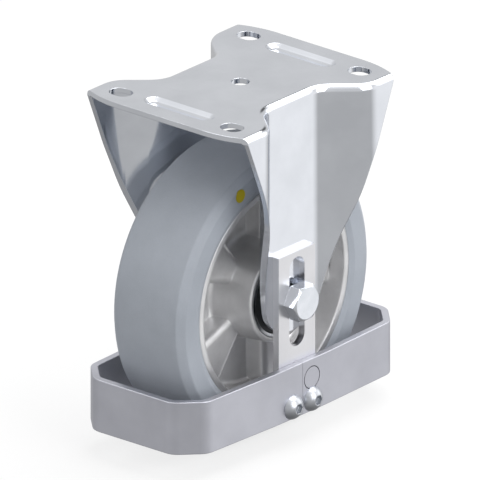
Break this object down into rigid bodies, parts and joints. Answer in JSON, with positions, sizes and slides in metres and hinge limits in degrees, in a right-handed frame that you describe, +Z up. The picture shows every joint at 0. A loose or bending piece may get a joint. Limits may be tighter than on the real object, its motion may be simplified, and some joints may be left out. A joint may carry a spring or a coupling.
{
  "type": "fixed caster",
  "caption": "Fixed caster: pressed steel fork with a top plate, rubber-tyred wheel on ball bearings and a flat-bar foot guard.",
  "frame": {"origin": "centre of the plate's upper mounting face, between the four fixing holes", "axes": "+Z up out of the mounting face, +X along the axle towards the bolt's head, +Y along the rolling direction"},
  "size_m": [0.1124, 0.178, 0.195],
  "materials": {
    "zinc_sheet": "bright zinc plated",
    "zinc_bar": "bright zinc plated",
    "zinc_fastener": "bright zinc plated",
    "bright_steel": "turned",
    "bearing_steel": "ground and polished",
    "cast_aluminium": "satin casting",
    "grey_rubber": "matte",
    "black_rubber": "matte",
    "yellow_mark": "matte",
    "nylon": "matte"
  },
  "bodies": {
    "fork": {"fork_bracket": "zinc_sheet", "axle_tube": "bright_steel", "bearing_spacer": "bright_steel", "distance_ring_right": "bright_steel", "distance_ring_left": "bright_steel", "bearing_inner_ring_right": "bearing_steel", "bearing_inner_ring_left": "bearing_steel", "axle_bolt": "zinc_fastener", "axle_nut": "zinc_fastener", "nut_insert": "nylon", "leg_washer_right": "zinc_fastener", "leg_washer_left": "zinc_fastener"},
    "wheel": {"wheel_centre": "cast_aluminium", "tyre": "grey_rubber", "marker_dot": "yellow_mark", "bearing_outer_ring_right": "bearing_steel", "bearing_outer_ring_left": "bearing_steel", "bearing_outer_seal_right": "black_rubber", "bearing_outer_seal_left": "black_rubber", "bearing_inner_seal_right": "black_rubber", "bearing_inner_seal_left": "black_rubber"},
    "ball_cage_right": {"bearing_cage_right": "bright_steel", "bearing_balls_right": "bearing_steel"},
    "ball_cage_left": {"bearing_cage_left": "bright_steel", "bearing_balls_left": "bearing_steel"},
    "foot_guard": {"guard_ring": "zinc_bar", "guard_pin": "zinc_bar", "holder_strip_right": "zinc_bar", "holder_strip_left": "zinc_bar", "guard_screw_right_front": "zinc_fastener", "guard_screw_right_rear": "zinc_fastener", "guard_screw_left_front": "zinc_fastener", "guard_screw_left_rear": "zinc_fastener", "guard_nut_right_front": "zinc_fastener", "guard_nut_right_rear": "zinc_fastener", "guard_nut_left_front": "zinc_fastener", "guard_nut_left_rear": "zinc_fastener"}
  },
  "joints": [
    {"name": "wheel_spin", "type": "hinge", "parent": "fork", "child": "wheel", "pos_m": [0, 0, -0.115], "axis": [1, 0, 0], "continuous": true},
    {"name": "cage_spin_right", "type": "hinge", "parent": "fork", "child": "ball_cage_right", "pos_m": [0, 0, -0.115], "axis": [1, 0, 0], "continuous": true},
    {"name": "cage_spin_left", "type": "hinge", "parent": "fork", "child": "ball_cage_left", "pos_m": [0, 0, -0.115], "axis": [1, 0, 0], "continuous": true},
    {"name": "guard_height", "type": "slide", "parent": "fork", "child": "foot_guard", "axis": [0, 0, 1], "range_m": [-0.013, 0.018]}
  ],
  "couplings": [
    {"joint": "cage_spin_right", "follows": "wheel_spin", "ratio": 0.61343},
    {"joint": "cage_spin_left", "follows": "wheel_spin", "ratio": 0.61343}
  ]
}
